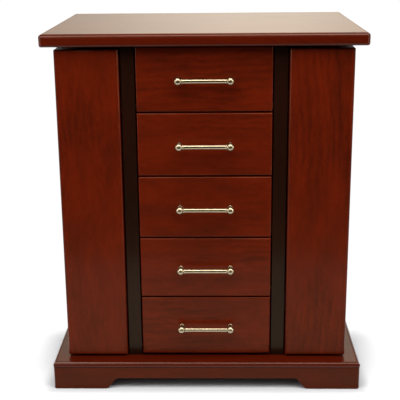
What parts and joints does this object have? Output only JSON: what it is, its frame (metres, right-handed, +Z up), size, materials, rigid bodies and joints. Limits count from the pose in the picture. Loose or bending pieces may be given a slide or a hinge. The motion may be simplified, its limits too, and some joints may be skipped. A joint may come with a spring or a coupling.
{
  "type": "jewelry armoire",
  "caption": "Tabletop jewelry armoire in red-brown wood: drawers with bar pulls, side doors that swing out with necklace hooks, and a lift-up lid with a mirror over a lined well.",
  "frame": {"origin": "middle of the footprint, on the surface that the armoire stands on", "axes": "+Z up, front faces -Y, +X to the right as seen from the front"},
  "size_m": [0.33, 0.247, 0.38],
  "materials": {
    "mahogany": "red mahogany stain under a satin-gloss lacquer",
    "espresso_wood": "near-black espresso stain, satin lacquer",
    "plain_wood": "bare sanded hardwood, sealed",
    "velvet": "champagne flocked velvet lining",
    "pouch_fabric": "gathered champagne sateen pocket",
    "felt": "dark pressed felt pads",
    "satin_nickel": "warm satin nickel plate",
    "hinge_metal": "brushed brass plate",
    "mirror": "silvered glass",
    "catch_plastic": "dark brown moulded magnet case"
  },
  "bodies": {
    "case": {"base_board": "mahogany", "plinth_front": "mahogany", "plinth_left": "mahogany", "plinth_right": "mahogany", "plinth_back": "mahogany", "corner_blocks": "plain_wood", "felt_pads": "felt", "left_wall": "mahogany", "right_wall": "mahogany", "left_stile": "espresso_wood", "right_stile": "espresso_wood", "back_board": "mahogany", "top_rail": "mahogany", "drawer_runners": "plain_wood", "well_floor": "mahogany", "well_lining": "velvet", "ring_cushions": "velvet", "wall_linings": "velvet", "catch_magnets": "catch_plastic", "fixed_hinge_leaves": "hinge_metal", "hinge_pins": "hinge_metal"},
    "lid": {"lid_board": "mahogany", "mirror_glass": "mirror", "mirror_frame": "mahogany", "lid_hinge_leaves": "hinge_metal"},
    "left_door": {"left_door_front": "mahogany", "left_door_side": "mahogany", "left_door_rails": "mahogany", "left_door_lining": "velvet", "left_door_hooks": "satin_nickel", "left_door_pouch": "pouch_fabric", "left_door_hardware": "hinge_metal"},
    "right_door": {"right_door_front": "mahogany", "right_door_side": "mahogany", "right_door_rails": "mahogany", "right_door_lining": "velvet", "right_door_hooks": "satin_nickel", "right_door_pouch": "pouch_fabric", "right_door_hardware": "hinge_metal"},
    "drawer_1": {"drawer_1_front": "mahogany", "drawer_1_box": "plain_wood", "drawer_1_lining": "velvet", "drawer_1_pull": "satin_nickel"},
    "drawer_2": {"drawer_2_front": "mahogany", "drawer_2_box": "plain_wood", "drawer_2_lining": "velvet", "drawer_2_pull": "satin_nickel"},
    "drawer_3": {"drawer_3_front": "mahogany", "drawer_3_box": "plain_wood", "drawer_3_lining": "velvet", "drawer_3_pull": "satin_nickel"},
    "drawer_4": {"drawer_4_front": "mahogany", "drawer_4_box": "plain_wood", "drawer_4_lining": "velvet", "drawer_4_pull": "satin_nickel"},
    "drawer_5": {"drawer_5_front": "mahogany", "drawer_5_box": "plain_wood", "drawer_5_lining": "velvet", "drawer_5_pull": "satin_nickel"}
  },
  "joints": [
    {"name": "lid_hinge", "type": "hinge", "parent": "case", "child": "lid", "pos_m": [0, 0.1206, 0.3644], "axis": [-1, 0, 0], "range_deg": [0, 100]},
    {"name": "left_door_hinge", "type": "hinge", "parent": "case", "child": "left_door", "pos_m": [-0.152, 0.1091, 0], "axis": [0, 0, -1], "range_deg": [0, 110]},
    {"name": "right_door_hinge", "type": "hinge", "parent": "case", "child": "right_door", "pos_m": [0.152, 0.1091, 0], "axis": [0, 0, 1], "range_deg": [0, 110]},
    {"name": "drawer_1_slide", "type": "slide", "parent": "case", "child": "drawer_1", "axis": [0, -1, 0], "range_m": [0, 0.14]},
    {"name": "drawer_2_slide", "type": "slide", "parent": "case", "child": "drawer_2", "axis": [0, -1, 0], "range_m": [0, 0.14]},
    {"name": "drawer_3_slide", "type": "slide", "parent": "case", "child": "drawer_3", "axis": [0, -1, 0], "range_m": [0, 0.14]},
    {"name": "drawer_4_slide", "type": "slide", "parent": "case", "child": "drawer_4", "axis": [0, -1, 0], "range_m": [0, 0.14]},
    {"name": "drawer_5_slide", "type": "slide", "parent": "case", "child": "drawer_5", "axis": [0, -1, 0], "range_m": [0, 0.14]}
  ]
}
